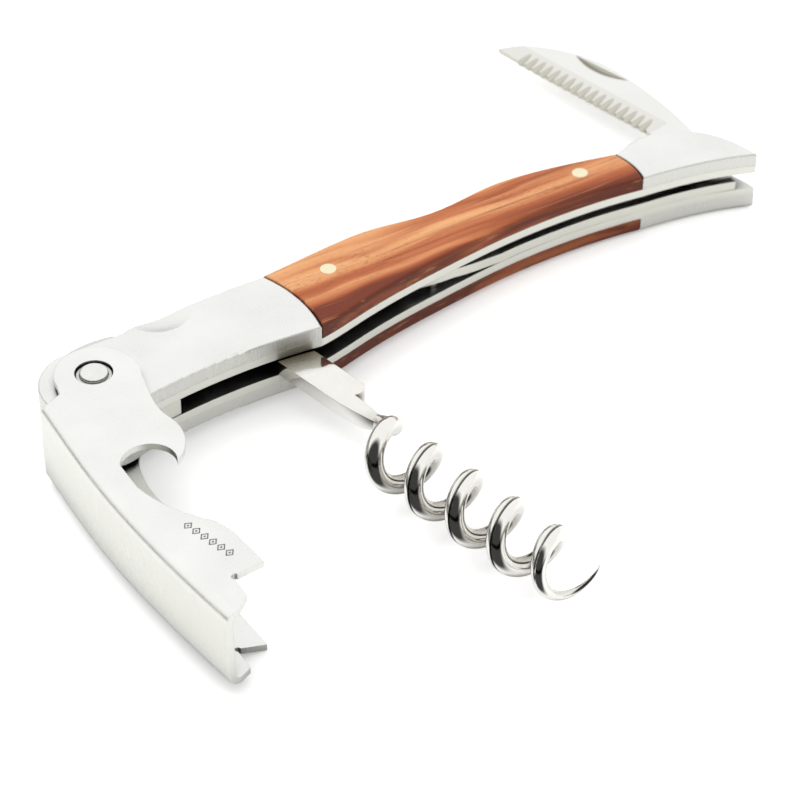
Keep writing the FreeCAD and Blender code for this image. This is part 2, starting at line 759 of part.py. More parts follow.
def shank_shape():
    half = size("shank_width") / 2
    tang = size("tang_radius")
    corner = math.sqrt(tang ** 2 - half ** 2)
    reach = size("shank_reach")
    edges = [arc((-corner, half), (-tang, 0.0), (-corner, -half)),
             line((-corner, -half), (reach - 2.0, -half - 0.3)),
             arc((reach - 2.0, -half - 0.3), (reach + 2.6, -half - 0.15), (reach + 6.0, -half + 0.5)),
             line((reach + 6.0, -half + 0.5), (reach + 6.5, 0.15)),
             arc((reach + 6.5, 0.15), (reach + 3.2, -0.35), (reach + 0.4, -0.15)),
             arc((reach + 0.4, -0.15), (reach + 0.55, 1.3), (reach - 0.6, half - 0.25)),
             line((reach - 0.6, half - 0.25), (-corner, half))]
    outline = Part.Face(Part.Wire(Part.__sortEdges__([edge.toShape() for edge in edges])))
    thickness = size("shank_thickness")
    strip = outline.extrude(V(0, 0, thickness))
    strip.translate(V(0, 0, -thickness / 2))
    hole = Part.makeCylinder(size("worm_pin_diameter") / 2 + size("running_clearance"), 2 * thickness,
                             V(0, 0, -thickness))
    return strip.cut(hole)


def worm_shape():
    """The worm in its own frame: pivot at the origin, pointing along +u = +X, mid-plane at z = 0."""
    wire = size("wire_diameter") / 2
    taper_start, tip_turn, lead_in = 4.25, size("coil_turns") + 0.03, 0.1
    neck_start = V(size("shank_reach") + 4.2, -1.25, 0)
    lead = Part.BSplineCurve()
    lead.interpolate(Points=[neck_start, coil_point(lead_in)], InitialTangent=V(1, 0, 0) * 4.5,
                     FinalTangent=coil_direction(lead_in) * 5.5)
    neck_ring = ring_wire(neck_start, V(1, 0, 0), size("neck_thickness") / 2, V(0, 1, 0))
    tip_ring = coil_ring(tip_turn, size("tip_radius"))
    faces = [Part.Face(neck_ring), Part.Face(tip_ring)]
    faces += swept_skin(Part.Wire([lead.toShape()]), [neck_ring, coil_ring(lead_in, wire)])
    faces += swept_skin(helix_spine(lead_in, taper_start), [coil_ring(lead_in, wire)])
    faces += swept_skin(helix_spine(taper_start, tip_turn), [coil_ring(taper_start, wire), tip_ring])
    skin = Part.Compound(faces)
    skin.sewShape(SEAM_GAP)
    round_wire = Part.Solid(skin.Shells[0])
    if round_wire.Volume < 0:
        round_wire.reverse()
    return shank_shape().fuse(round_wire).removeSplitter()


def make_worm():
    worm = doc.addObject("Part::Feature", "worm")
    worm.Shape = worm_shape()
    turn = FreeCAD.Rotation(V(0, 0, 1), size("worm_direction"))
    worm.Placement = FreeCAD.Placement(V(0, 0, 0), turn)
    return finish(worm, "worm", ORIGIN_X + " + Sheet.worm_pin_along", ORIGIN_Y + " + Sheet.worm_pin_across",
                  MIDDLE)


make_worm()


# ---------------------------------------------------------------- blade

def serrated_edge(start, end):
    """A row of small hollow scallops between two points on the cutting edge."""
    start, end = V(*start, 0), V(*end, 0)
    count = round((end - start).Length / size("serration_pitch"))
    step = (end - start) / count
    inward = V(-step.y, step.x, 0).normalize() * size("serration_depth")
    row = []
    for i in range(count):
        a, b = start + step * i, start + step * (i + 1)
        row.append(Part.Arc(a, (a + b) / 2 + inward, b))
    return row


HEEL, NEAR_TIP, TIP = (106.0, 14.0), (100.6, 41.9), (99.9, 46.4)
EDGE_LENGTH = math.hypot(HEEL[0] - NEAR_TIP[0], HEEL[1] - NEAR_TIP[1])
EDGE_LEAN = math.degrees(math.atan2(HEEL[0] - NEAR_TIP[0], NEAR_TIP[1] - HEEL[1]))


def blade_outline():
    """Plan of the open blade, spine towards +X, edge towards -X."""
    along, across, tang = size("blade_pin_along"), size("blade_pin_across"), size("blade_tang_radius")
    throat = (105.2, 12.9)
    return ([arc((along + tang, across), (along, across - tang), (along - tang, across)),
             curve((along - tang, across), (along - 2.6, across + 3.2), (along - 1.2, across + 8.2), throat),
             line(throat, HEEL)]
            + serrated_edge(HEEL, NEAR_TIP)
            + [line(NEAR_TIP, TIP),
               curve(TIP, (104.6, 43.2), (108.6, 38.3), (111.1, 32.4), (112.0, 24.0), (111.9, 15.0),
                     (110.9, 7.5), (along + tang, across))])


def bevel_profile(sketch):
    """Two wedges, above and below, that thin the blade towards its edge, drawn from the edge inwards."""
    half, edge = size("blade_thickness") / 2, size("blade_edge_thickness") / 2
    outside, shoulder, beyond = -0.6, 3.4, 2.0
    for side in (1, -1):
        thin, full = middle + side * edge, middle + side * half
        clear = full + side * beyond
        draw_loop(sketch, polyline((outside, thin), (shoulder, full), (shoulder, clear), (outside, clear),
                                   (outside, thin)))


def add_cutter(body, name, place, turn, radius, height):
    """A round cutter with its base circle's centre and its axis set freely."""
    cutter = body.newObject("PartDesign::SubtractiveCylinder", name)
    cutter.AttachmentSupport = [(origin_plane(body, "XY_Plane"), "")]
    cutter.MapMode = "FlatFace"
    cutter.AttachmentOffset = FreeCAD.Placement(place, turn)
    cutter.setExpression("Radius", radius)
    cutter.Height = height
    body.Tip = cutter
    doc.recompute()
    return cutter


def grind_serrations(body, along_edge):
    """Hollow grooves across the upper bevel, one to each scallop of the edge."""
    count = round(EDGE_LENGTH / size("serration_pitch"))
    pitch = EDGE_LENGTH / count
    climb, depth_at_edge, run_out, length = 22.0, 0.05, 1.0, 5.0
    first = V(*HEEL, 0) + V(NEAR_TIP[0] - HEEL[0], NEAR_TIP[1] - HEEL[1], 0) * (0.5 / count)
    inwards = FreeCAD.Rotation(V(0, 0, 1), EDGE_LEAN) * FreeCAD.Rotation(V(0, 1, 0), 90.0 - climb)
    axis_height = middle + size("groove_radius") - depth_at_edge
    start = first + V(0, 0, axis_height) - inwards.multVec(V(0, 0, run_out))
    groove = add_cutter(body, "Serration", start, inwards, "Sheet.groove_radius", length)
    before = body.Shape.Volume
    row = body.newObject("PartDesign::LinearPattern", "SerrationRow")
    row.Originals = [groove]
    row.Direction = (along_edge, ["N_Axis"])
    row.Reversed = True
    row.Length = pitch * (count - 1)
    row.Occurrences = count
    body.Tip = row
    doc.recompute()
    if body.Shape.Volume > before - 1.0:
        raise RuntimeError("the serrations miss the blade")


def cut_nail_nick(body):
    """The lens-shaped nick near the spine, steep on the spine's side and running out on the edge's side."""
    wall_foot, turned, floor_slope, length = (109.8, 31.6), 13.5, 28.0, 3.0
    swing = FreeCAD.Rotation(V(0, 0, 1), turned)
    foot = V(*wall_foot, middle + size("blade_thickness") / 2 - size("nick_depth"))
    lean = math.radians(floor_slope)
    centre = foot + swing.multVec(V(math.sin(lean), 0, math.cos(lean))) * size("nick_radius")
    before = body.Shape.Volume
    add_cutter(body, "NailNick", centre, swing * FreeCAD.Rotation(V(0, 1, 0), floor_slope - 90.0),
               "Sheet.nick_radius", length)
    if body.Shape.Volume > before - 1.0:
        raise RuntimeError("the nail nick misses the blade")


def make_blade():
    """Foil blade, drawn open and standing off the handle's back."""
    body = new_body("blade")
    outline = new_sketch(body, "Outline", height="%s - Sheet.blade_thickness / 2" % MIDDLE)
    draw_loop(outline, blade_outline())
    pad(body, outline, "Sheet.blade_thickness")
    wedge = new_sketch(body, "EdgeBevel", plane="XZ_Plane")
    bevel_profile(wedge)
    run_in = 1.6
    wedge.AttachmentOffset = FreeCAD.Placement(V(HEEL[0], 0, run_in - HEEL[1]),
                                               FreeCAD.Rotation(V(0, 1, 0), EDGE_LEAN))
    cut_down(body, wedge, CLEAR_THROUGH)
    grind_serrations(body, wedge)
    cut_nail_nick(body)
    bore(body, "Sheet.blade_pin_along", "Sheet.blade_pin_across",
         "Sheet.blade_pin_diameter / 2 + Sheet.running_clearance", SLOT_FLOOR, "Sheet.slot_width")
    return finish(body, "blade")


make_blade()


# ---------------------------------------------------------------- checks and files

doc.recompute()
for obj in doc.Objects:
    if "Invalid" in obj.State or "Error" in obj.State:
        raise RuntimeError("%s failed: %s" % (obj.Label, obj.State))
for obj in subparts:
    if obj.Shape.isNull() or not obj.Shape.isValid():
        raise RuntimeError("bad shape: " + obj.Label)
for obj in subparts:
    obj.Shape.exportStep("parts/%s.step" % obj.Label)
    box = obj.Shape.BoundBox
    print("%-20s %d solids, %6.1f x %6.1f x %5.1f mm, %7.1f mm3"
          % (obj.Label, len(obj.Shape.Solids), box.XLength, box.YLength, box.ZLength, obj.Shape.Volume))
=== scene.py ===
import json
import math

import bmesh
import bpy
from mathutils import Matrix, Vector


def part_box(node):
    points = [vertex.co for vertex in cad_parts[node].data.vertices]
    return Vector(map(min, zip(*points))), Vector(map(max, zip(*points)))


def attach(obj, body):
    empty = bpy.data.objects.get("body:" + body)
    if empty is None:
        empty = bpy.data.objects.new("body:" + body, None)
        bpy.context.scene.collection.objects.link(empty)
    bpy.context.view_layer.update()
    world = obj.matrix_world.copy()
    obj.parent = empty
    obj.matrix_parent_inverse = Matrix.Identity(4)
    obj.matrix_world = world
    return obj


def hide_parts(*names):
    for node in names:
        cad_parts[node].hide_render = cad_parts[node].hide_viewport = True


# Waiters corkscrew, lying open on a white table.
# Lengths are in millimetres here, and times MM where they go into Blender.
MM = 0.001

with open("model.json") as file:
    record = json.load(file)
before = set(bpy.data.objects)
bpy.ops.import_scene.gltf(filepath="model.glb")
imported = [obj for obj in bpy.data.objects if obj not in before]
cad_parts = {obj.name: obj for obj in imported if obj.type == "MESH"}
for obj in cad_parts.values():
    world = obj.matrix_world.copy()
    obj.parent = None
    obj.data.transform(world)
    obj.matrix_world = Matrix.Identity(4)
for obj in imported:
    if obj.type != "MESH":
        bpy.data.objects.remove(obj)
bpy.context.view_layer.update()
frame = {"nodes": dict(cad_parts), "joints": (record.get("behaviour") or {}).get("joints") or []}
nodes = frame["nodes"]
pivots = {joint["name"]: Vector(joint["pos_m"]) for joint in frame["joints"]}


# ---------------------------------------------------------------- materials

SOCKETS = {"base_color": "Base Color", "specular": "Specular IOR Level", "coat_weight": "Coat Weight",
           "coat_roughness": "Coat Roughness", "emission_color": "Emission Color",
           "emission_strength": "Emission Strength"}


class Recipe:
    """One material's node tree. Its calls add a node each and return the node's output."""

    def __init__(self, name):
        self.material = bpy.data.materials.new(name)
        self.material.use_nodes = True
        self.tree = self.material.node_tree
        self.shader = self.tree.nodes["Principled BSDF"]
        self.place = self.add("ShaderNodeTexCoord").outputs["Object"]
        self.facing = self.add("ShaderNodeTexCoord").outputs["Normal"]

    def add(self, kind, inputs=None, **settings):
        node = self.tree.nodes.new(kind)
        for name, value in settings.items():
            setattr(node, name, value)
        for name, value in (inputs or {}).items():
            self.feed(node.inputs[name], value)
        return node

    def feed(self, socket, value):
        if isinstance(value, bpy.types.NodeSocket):
            self.tree.links.new(value, socket)
        elif socket.type == "RGBA":
            socket.default_value = (*value, 1.0)
        else:
            socket.default_value = value

    def surface(self, **values):
        for name, value in values.items():
            self.feed(self.shader.inputs[SOCKETS.get(name, name.capitalize())], value)

    def maths(self, operation, a, b=0.0):
        return self.add("ShaderNodeMath", {0: a, 1: b}, operation=operation).outputs[0]

    def plus(self, a, b):
        return self.maths("ADD", a, b)

    def times(self, a, b):
        return self.maths("MULTIPLY", a, b)

    def absolute(self, value):
        return self.maths("ABSOLUTE", value)

    def vectors(self, operation, a, b=(0.0, 0.0, 0.0)):
        return self.add("ShaderNodeVectorMath", {0: a, 1: b}, operation=operation).outputs

    def split(self, vector):
        return self.add("ShaderNodeSeparateXYZ", {0: vector}).outputs

    def noise(self, per_mm, detail=3.0, roughness=0.5, distortion=0.0, turn=0.0, sway=None):
        """Noise with its own number of repeats per millimetre along each axis, turned about Z by degrees."""
        where = self.add("ShaderNodeMapping", {"Vector": self.place, "Scale": [k / MM for k in per_mm],
                                               "Rotation": (0.0, 0.0, math.radians(turn))}).outputs[0]
        if sway:
            where = self.vectors("ADD", where, sway)[0]
        return self.add("ShaderNodeTexNoise", {"Vector": where, "Scale": 1.0, "Detail": detail,
                                               "Roughness": roughness, "Distortion": distortion}).outputs[0]

    def span(self, value, low, high, to_low=0.0, to_high=1.0, **settings):
        """A value's range mapped onto another one and held inside it."""
        return self.add("ShaderNodeMapRange", {"Value": value, "From Min": low, "From Max": high,
                                               "To Min": to_low, "To Max": to_high}, **settings).outputs[0]

    def ramp(self, value, *stops):
        node = self.add("ShaderNodeValToRGB", {"Fac": value})
        colours = node.color_ramp.elements
        while len(colours) < len(stops):
            colours.new(1.0)
        for element, (position, colour) in zip(colours, stops):
            element.position = position
            element.color = (*colour, 1.0)
        return node.outputs[0]

    def mix(self, factor, a, b, kind="MIX"):
        """Blends two colours."""
        return self.add("ShaderNodeMix", {0: factor, 6: a, 7: b}, data_type="RGBA", blend_type=kind).outputs[2]

    def choose(self, factor, a, b):
        """Blends two numbers."""
        return self.add("ShaderNodeMix", {0: factor, 2: a, 3: b}, data_type="FLOAT").outputs[0]

    def rounded(self, radius_mm=0.12):
        """A normal that turns softly over sharp edges."""
        return self.add("ShaderNodeBevel", {"Radius": radius_mm * MM}, samples=4).outputs[0]

    def crevice(self, reach_mm, darkest=0.0, closed=0.25, clear=0.85):
        """Painted shade: 1 in the open, down to darkest where other surfaces close in within the reach."""
        around = self.add("ShaderNodeAmbientOcclusion", {"Distance": reach_mm * MM}, samples=6)
        return self.span(around.outputs["AO"], closed, clear, darkest, 1.0)

    def shade(self, factor, colour):
        """A colour times a number."""
        grey = self.add("ShaderNodeCombineColor", {"Red": factor, "Green": factor, "Blue": factor}).outputs[0]
        return self.mix(1.0, colour, grey, kind="MULTIPLY")

    def is_level(self, upright=0.6, level=0.8):
        """1 on faces that lie level, 0 on upright ones."""
        return self.span(self.absolute(self.split(self.facing)["Z"]), upright, level)

    def bump(self, height, depth_mm, under=None):
        return self.add("ShaderNodeBump", {"Height": height, "Distance": depth_mm * MM,
                                           "Normal": under or self.rounded()}).outputs[0]


def grinding(recipe, flat_grain, wall_grain):
    """Fine straight grinding lines: one direction on the level faces, another on the upright ones."""
    on_flat = recipe.noise(flat_grain, detail=2.0)
    on_wall = recipe.noise(wall_grain, detail=2.0)
    return recipe.choose(recipe.is_level(), on_wall, on_flat)


# Tint of the painted shade on upright walls.
SHADED_WALL_TINT = (1.0, 1.0, 0.96)
GRIND_DEPTH_MM = 0.0008


def satin_steel(name, colour, roughness, flat_grain=(7.0, 0.25, 7.0), wall_shade=0.9, crevice_mm=1.5,
                crevice_shade=0.35, ornament=None):
    """Stainless sheet with a fine ground finish, faint clouding and rubbed patches, with painted shade on the
    upright walls and in the crevices.
    """
    recipe = Recipe(name)
    lines = grinding(recipe, flat_grain, wall_grain=(7.0, 7.0, 0.25))
    cloud = recipe.noise((0.12, 0.12, 0.12), detail=4.0)
    base_tone = recipe.mix(recipe.span(cloud, 0.3, 0.7), [0.92 * c for c in colour], colour)
    # Painted shade: upright walls darker than level faces, with a slight tint.
    tone = recipe.mix(recipe.is_level(), [wall_shade * c * tint for c, tint in zip(colour, SHADED_WALL_TINT)], base_tone)
    if ornament:
        tone = recipe.mix(engraved_row(recipe, **ornament), tone, (0.10, 0.10, 0.09))
    # Painted shade where other surfaces close in.
    recipe.surface(
        base_color=recipe.shade(recipe.crevice(crevice_mm, crevice_shade), tone),
        metallic=1.0,
        roughness=recipe.plus(recipe.span(lines, 0.3, 0.7, roughness - 0.05, roughness + 0.06),
                              recipe.span(cloud, 0.3, 0.7, -0.03, 0.04)),
        normal=recipe.bump(lines, GRIND_DEPTH_MM))
    return recipe.material


UPPER_FLANGE_ABOVE_MM = 10.5
LOZENGE_SLENDER, LOZENGE_SIZE = 2.2, 0.8


def engraved_row(recipe, start, end, height_mm, count):
    """A mask of fine engraved lozenges in a row on the upper flange, between two places in millimetres."""
    run = Vector(end) - Vector(start)
    moved = recipe.vectors("SUBTRACT", recipe.place, (start[0] * MM, start[1] * MM, 0.0))[0]
    turned = recipe.add("ShaderNodeVectorRotate", {"Vector": moved, "Angle": -math.atan2(run.y, run.x)},
                        rotation_type="Z_AXIS").outputs[0]
    along, across, height = recipe.split(turned)[:3]
    cell = recipe.maths("DIVIDE", along, run.length / count * MM)
    inside = recipe.times(recipe.maths("GREATER_THAN", cell, 0.0), recipe.maths("LESS_THAN", cell, count))
    in_cell = recipe.absolute(recipe.maths("SUBTRACT", recipe.maths("FRACT", cell), 0.5))
    aside = recipe.maths("DIVIDE", recipe.absolute(across), 0.5 * height_mm * MM)
    lozenge = recipe.plus(recipe.times(in_cell, LOZENGE_SLENDER), aside)
    off_outline = recipe.absolute(recipe.maths("SUBTRACT", lozenge, LOZENGE_SIZE))
    outline = recipe.span(off_outline, 0.10, 0.20, 1.0, 0.0)
    dot = recipe.span(recipe.plus(in_cell, recipe.times(aside, 0.4)), 0.08, 0.14, 1.0, 0.0)
    above = recipe.maths("GREATER_THAN", height, UPPER_FLANGE_ABOVE_MM * MM)
    on_top = recipe.times(above, recipe.is_level())
    return recipe.times(recipe.maths("MAXIMUM", outline, dot), recipe.times(inside, on_top))


# Direction, spread and darkness of the painted reflection of the tent's dark open front.
OPENING_AZIMUTH, OPENING_ELEVATION = -51.0, 8.0
OPENING_EDGE, OPENING_CORE, OPENING_LEVEL = 0.20, 0.60, 0.05


def view_back(azimuth, elevation):
    """Unit vector from the object back to a viewer at an azimuth and an elevation, in degrees."""
    a, e = math.radians(azimuth), math.radians(elevation)
    return Vector((math.sin(a) * math.cos(e), -math.cos(a) * math.cos(e), math.sin(e)))


def painted_opening_reflection(recipe):
    """Painted reflection: 1 except where the mirrored direction points to the dark open front of the tent."""
    mirrored = recipe.add("ShaderNodeTexCoord").outputs["Reflection"]
    opening = view_back(OPENING_AZIMUTH, OPENING_ELEVATION)
    toward = recipe.vectors("DOT_PRODUCT", mirrored, opening)["Value"]
    return recipe.span(toward, OPENING_EDGE, OPENING_CORE, 1.0, OPENING_LEVEL, interpolation_type="SMOOTHSTEP")


def painted_left_reflection(recipe, darkest):
    """Painted reflection: 1 except close to outlines that face left, which are darkened as if polished metal
    mirrored a dark end of the tent.
    """
    grazing = recipe.span(recipe.add("ShaderNodeLayerWeight", {"Blend": 0.5}).outputs["Facing"], 0.72, 0.93)
    leftward = recipe.span(recipe.times(recipe.split(recipe.facing)["X"], -1.0), -0.1, 0.25)
    return recipe.maths("SUBTRACT", 1.0, recipe.times(recipe.times(grazing, leftward), 1.0 - darkest))


def polished_steel():
    """Chrome with a slight ripple and a haze of fine wipe marks, with painted shade in the groove and inside
    the coils, and painted dark reflections.
    """
    recipe = Recipe("polished_steel")
    haze = recipe.noise((0.5, 0.5, 0.5), detail=5.0)
    wave = recipe.noise((0.18, 0.18, 0.18), detail=1.0)
    base_tone = recipe.mix(haze, (0.86, 0.85, 0.81), (0.95, 0.94, 0.91))
    # Painted shade: dark brown on the coils' inner sides and a dark line in the groove.
    inner_coil_shade = recipe.crevice(5.0, 0.0, closed=0.78, clear=0.96)
    toned = recipe.mix(inner_coil_shade, (0.20, 0.17, 0.12), base_tone)
    groove_shade = recipe.crevice(0.35, 0.08, closed=0.60, clear=0.96)
    # Painted reflections of the dark parts of the tent.
    painted_reflections = recipe.times(painted_opening_reflection(recipe), painted_left_reflection(recipe, 0.25))
    recipe.surface(base_color=recipe.shade(recipe.times(groove_shade, painted_reflections), toned), metallic=1.0,
                   roughness=recipe.span(haze, 0.35, 0.75, 0.05, 0.12), normal=recipe.bump(wave, 0.02))
    return recipe.material


PIN_STEEL = (0.93, 0.93, 0.91)
RINGS_PER_MM = 40.0


def turned_steel(name, centre):
    """A pin faced on a lathe: fine rings around its own axis, with painted shade close to other parts."""
    recipe = Recipe(name)
    from_axis = recipe.vectors("SUBTRACT", recipe.place, centre)[0]
    radius = recipe.vectors("LENGTH", recipe.vectors("MULTIPLY", from_axis, (1.0, 1.0, 0.0))[0])["Value"]
    rings = recipe.maths("SINE", recipe.times(radius, RINGS_PER_MM / MM))
    cloud = recipe.noise((0.8, 0.8, 0.8), detail=4.0)
    base_tone = recipe.mix(cloud, [0.85 * c for c in PIN_STEEL], PIN_STEEL)
    # Painted shade where other surfaces close in.
    recipe.surface(base_color=recipe.shade(recipe.crevice(0.6, 0.05), base_tone), metallic=1.0,
                   roughness=recipe.span(cloud, 0.3, 0.7, 0.22, 0.36),
                   normal=recipe.bump(rings, GRIND_DEPTH_MM))
    return recipe.material


def brass():
    """Brass rubbed flush with the wood, with short slanted marks."""
    recipe = Recipe("brass")
    rub = recipe.noise((6.0, 1.2, 2.0), turn=25.0)
    cloud = recipe.noise((0.9, 0.9, 0.9))
    recipe.surface(base_color=recipe.mix(cloud, (0.93, 0.84, 0.55), (0.99, 0.94, 0.72)), metallic=1.0,
                   roughness=recipe.span(rub, 0.3, 0.7, 0.24, 0.40), normal=recipe.bump(rub, 0.001))
    return recipe.material


DARK_VEIN, LIGHT_VEIN = (0.13, 0.022, 0.006), (0.72, 0.36, 0.14)
FLECK, PORE = (0.12, 0.020, 0.006), (0.09, 0.02, 0.008)
GRAIN_TURN = 2.0


def rosewood(name, wall_shade):
    """Oiled rosewood: light and dark bands and thin veins along the handle, short open pores, a soft sheen, and
    painted shade on the walls and where other parts close in.
    """
    recipe = Recipe(name)
    wander = recipe.noise((0.03, 0.07, 0.07), detail=2.0)
    sway = recipe.add("ShaderNodeCombineXYZ", {"Y": recipe.span(wander, 0.2, 0.8, -0.5, 0.5)}).outputs[0]
    across = recipe.split(recipe.place)["Y"]
    darker_belly = recipe.span(across, -6.5 * MM, 0.5 * MM, -0.20, 0.11)
    darker_back = recipe.span(across, 2.0 * MM, 6.0 * MM, 0.0, -0.12)
    figure = recipe.noise((0.010, 0.21, 0.21), detail=2.5, roughness=0.55, turn=GRAIN_TURN, sway=sway)
    bands = recipe.plus(figure, recipe.plus(darker_belly, darker_back))
    colour = recipe.ramp(bands, (0.33, (0.15, 0.022, 0.004)), (0.42, (0.34, 0.075, 0.018)),
                         (0.50, (0.47, 0.140, 0.048)), (0.57, (0.63, 0.27, 0.110)),
                         (0.68, (0.78, 0.41, 0.190)))
    veins = recipe.noise((0.035, 1.3, 1.3), roughness=0.6, distortion=0.5, turn=GRAIN_TURN)
    patches = recipe.span(recipe.noise((0.05, 0.12, 0.12), detail=2.0), 0.42, 0.60)
    veined = recipe.times(recipe.span(veins, 0.54, 0.66), recipe.span(patches, 0.0, 1.0, 0.35, 0.95))
    colour = recipe.mix(veined, colour, DARK_VEIN)
    light_veins = recipe.noise((0.05, 1.7, 1.7), detail=2.0)
    colour = recipe.mix(recipe.span(light_veins, 0.60, 0.74, 0.0, 0.45), colour, LIGHT_VEIN)
    flecks = recipe.noise((0.9, 4.0, 4.0), roughness=0.7)
    mottled = recipe.times(recipe.span(flecks, 0.56, 0.68), recipe.span(patches, 0.2, 1.0, 0.1, 0.75))
    colour = recipe.mix(mottled, colour, FLECK)
    pores = recipe.noise((0.8, 9.0, 9.0), detail=2.0, roughness=0.7)
    open_pore = recipe.span(pores, 0.62, 0.72)
    colour = recipe.mix(recipe.times(open_pore, 0.5), colour, PORE)
    # Painted shade: darker upright walls, and darker where other parts close in.
    on_walls = recipe.choose(recipe.is_level(), wall_shade, 1.0)
    shading = recipe.times(on_walls, recipe.crevice(0.8, 0.3))
    recipe.surface(base_color=recipe.shade(shading, colour), roughness=recipe.span(veins, 0.3, 0.7, 0.40, 0.55),
                   specular=0.28, coat_weight=0.08, coat_roughness=0.3,
                   normal=recipe.bump(open_pore, -0.02, under=recipe.bump(bands, 0.02)))
    return recipe.material


def blade_steel():
    """Fine satin steel, with painted shade on the tilted faces of the ground bevel, the serrations and the nail
    nick, and close to other parts.
    """
    recipe = Recipe("blade_steel")
    lines = grinding(recipe, flat_grain=(0.25, 6.0, 6.0), wall_grain=(6.0, 6.0, 0.25))
    cloud = recipe.noise((0.1, 0.1, 0.1))
    flat_side = recipe.mix(cloud, (0.86, 0.86, 0.84), (0.95, 0.95, 0.93))
    # Painted shade: tilted faces darker than the flat sides.
    base_tone = recipe.mix(recipe.is_level(0.93, 0.997), (0.62, 0.60, 0.53), flat_side)
    recipe.surface(base_color=recipe.shade(recipe.crevice(0.7, 0.25), base_tone), metallic=1.0,
                   roughness=recipe.span(lines, 0.3, 0.7, 0.28, 0.40), normal=recipe.bump(lines, 0.001))
    return recipe.material


def paint(material, *names):
    """Gives CAD nodes a material in place of their plain one."""
    for name in names:
        mesh = nodes[name].data
        mesh.materials.clear()
        mesh.materials.append(material)


bolster_steel = satin_steel("bolster_steel", (0.93, 0.93, 0.92), 0.30, wall_shade=0.74)
liner_steel = satin_steel("liner_steel", (0.90, 0.90, 0.87), 0.34, wall_shade=0.85, crevice_mm=5.0,
                          crevice_shade=0.03)
spring_steel = satin_steel("spring_steel", (0.80, 0.80, 0.76), 0.34, crevice_mm=6.0, crevice_shade=0.02)
lever_steel = satin_steel("lever_steel", (0.95, 0.95, 0.94), 0.30, flat_grain=(0.25, 7.0, 7.0), wall_shade=0.86,
                          crevice_mm=9.0, crevice_shade=0.12,
                          ornament={"start": (-68.8, -39.0), "end": (-66.8, -48.4), "height_mm": 1.5,
                                    "count": 6})
worm_steel = polished_steel()

paint(bolster_steel, "lower_head_bolster", "upper_head_bolster", "lower_tail_bolster", "upper_tail_bolster")
paint(liner_steel, "lower_liner", "upper_liner")
paint(spring_steel, "back_spring", "blade_spring", "head_spacer")
# The second argument is painted shade on the walls, deeper on the lower scale.
paint(rosewood("rosewood_upper", 0.75), "upper_scale")
paint(rosewood("rosewood_lower", 0.62), "lower_scale")
paint(lever_steel, "lever")
paint(brass(), "front_scale_pin", "rear_scale_pins")
paint(blade_steel(), "blade")
paint(worm_steel, "worm")
for pin, centre in (("lever_pin", pivots["lever_fold"]), ("lever_bushes", pivots["lever_fold"]),
                    ("lever_washers", pivots["lever_fold"]), ("worm_pin", pivots["worm_fold"]),
                    ("blade_pin", pivots["blade_fold"])):
    paint(turned_steel(pin + "_steel", centre), pin)
for pin in ("back_spring_pin", "blade_spring_pin", "head_spacer_pin"):
    low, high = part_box(pin)
    paint(turned_steel(pin + "_steel", (low + high) / 2), pin)


# ---------------------------------------------------------------- worm: flat shank and grooved wire

# The worm's own frame has x along it, y to the blade's side, z up and its pivot at the origin.
# Places along the wire are in turns, and places around it in degrees.
WORM_DIRECTION = -79.0
HALF_WIDTH, HALF_THICKNESS, TANG_RADIUS, SHANK_REACH, PIN_HOLE = 2.7, 1.2, 4.2, 16.8, 1.25
ROLLED_EDGE, SHARP_EDGE, CREASE = 0.28, 60.0, 28.0
WIRE, COIL_RADIUS, COIL_OFFSET, COIL_START, PITCH = 1.35, 3.55, 4.6, 25.8, 7.75
LEAD_START, LEAD_END, LEAD_PULL, LEAD_STEPS = (20.6, -1.25, 0.0), 0.1, 6.0, 20
TAPER_FROM, TIP_TURN, TIP_RADIUS, STEPS_PER_TURN = 4.25, 5.03, 0.10, 48
NECK_FROM, NECK_TO, NECK_RADIUS, NECK_THINNING = 20.6, 24.2, 0.85, 0.35
GROOVE_FROM, GROOVE_RUN_IN, GROOVE_RUN_OUT, GROOVE_DEPTH = 0.75, 0.2, 0.3, 0.17
GROOVE_SIDE, GROOVE_HALF_WIDTH, ROUND_FROM, ROUND_POINTS = -8.0, 8.0, 15.0, 28


def outward_at(turn):
    """From the coil's axis out to the wire."""
    angle = math.tau * turn
    return Vector((0.0, math.cos(angle), math.sin(angle)))


def coil_point(turn):
    """Centre of the wire."""
    return Vector((COIL_START + PITCH * turn, -COIL_OFFSET, 0.0)) + outward_at(turn) * COIL_RADIUS


def coil_direction(turn):
    """Along the wire."""
    around = Vector((1.0, 0.0, 0.0)).cross(outward_at(turn))
    return Vector((PITCH, *(around * math.tau * COIL_RADIUS).yz)).normalized()


def between(low, high, value):
    """How far a value has come from low to high, held to 0 and 1."""
    return min(max((value - low) / (high - low), 0.0), 1.0)


def smooth(t):
    return t * t * (3.0 - 2.0 * t)


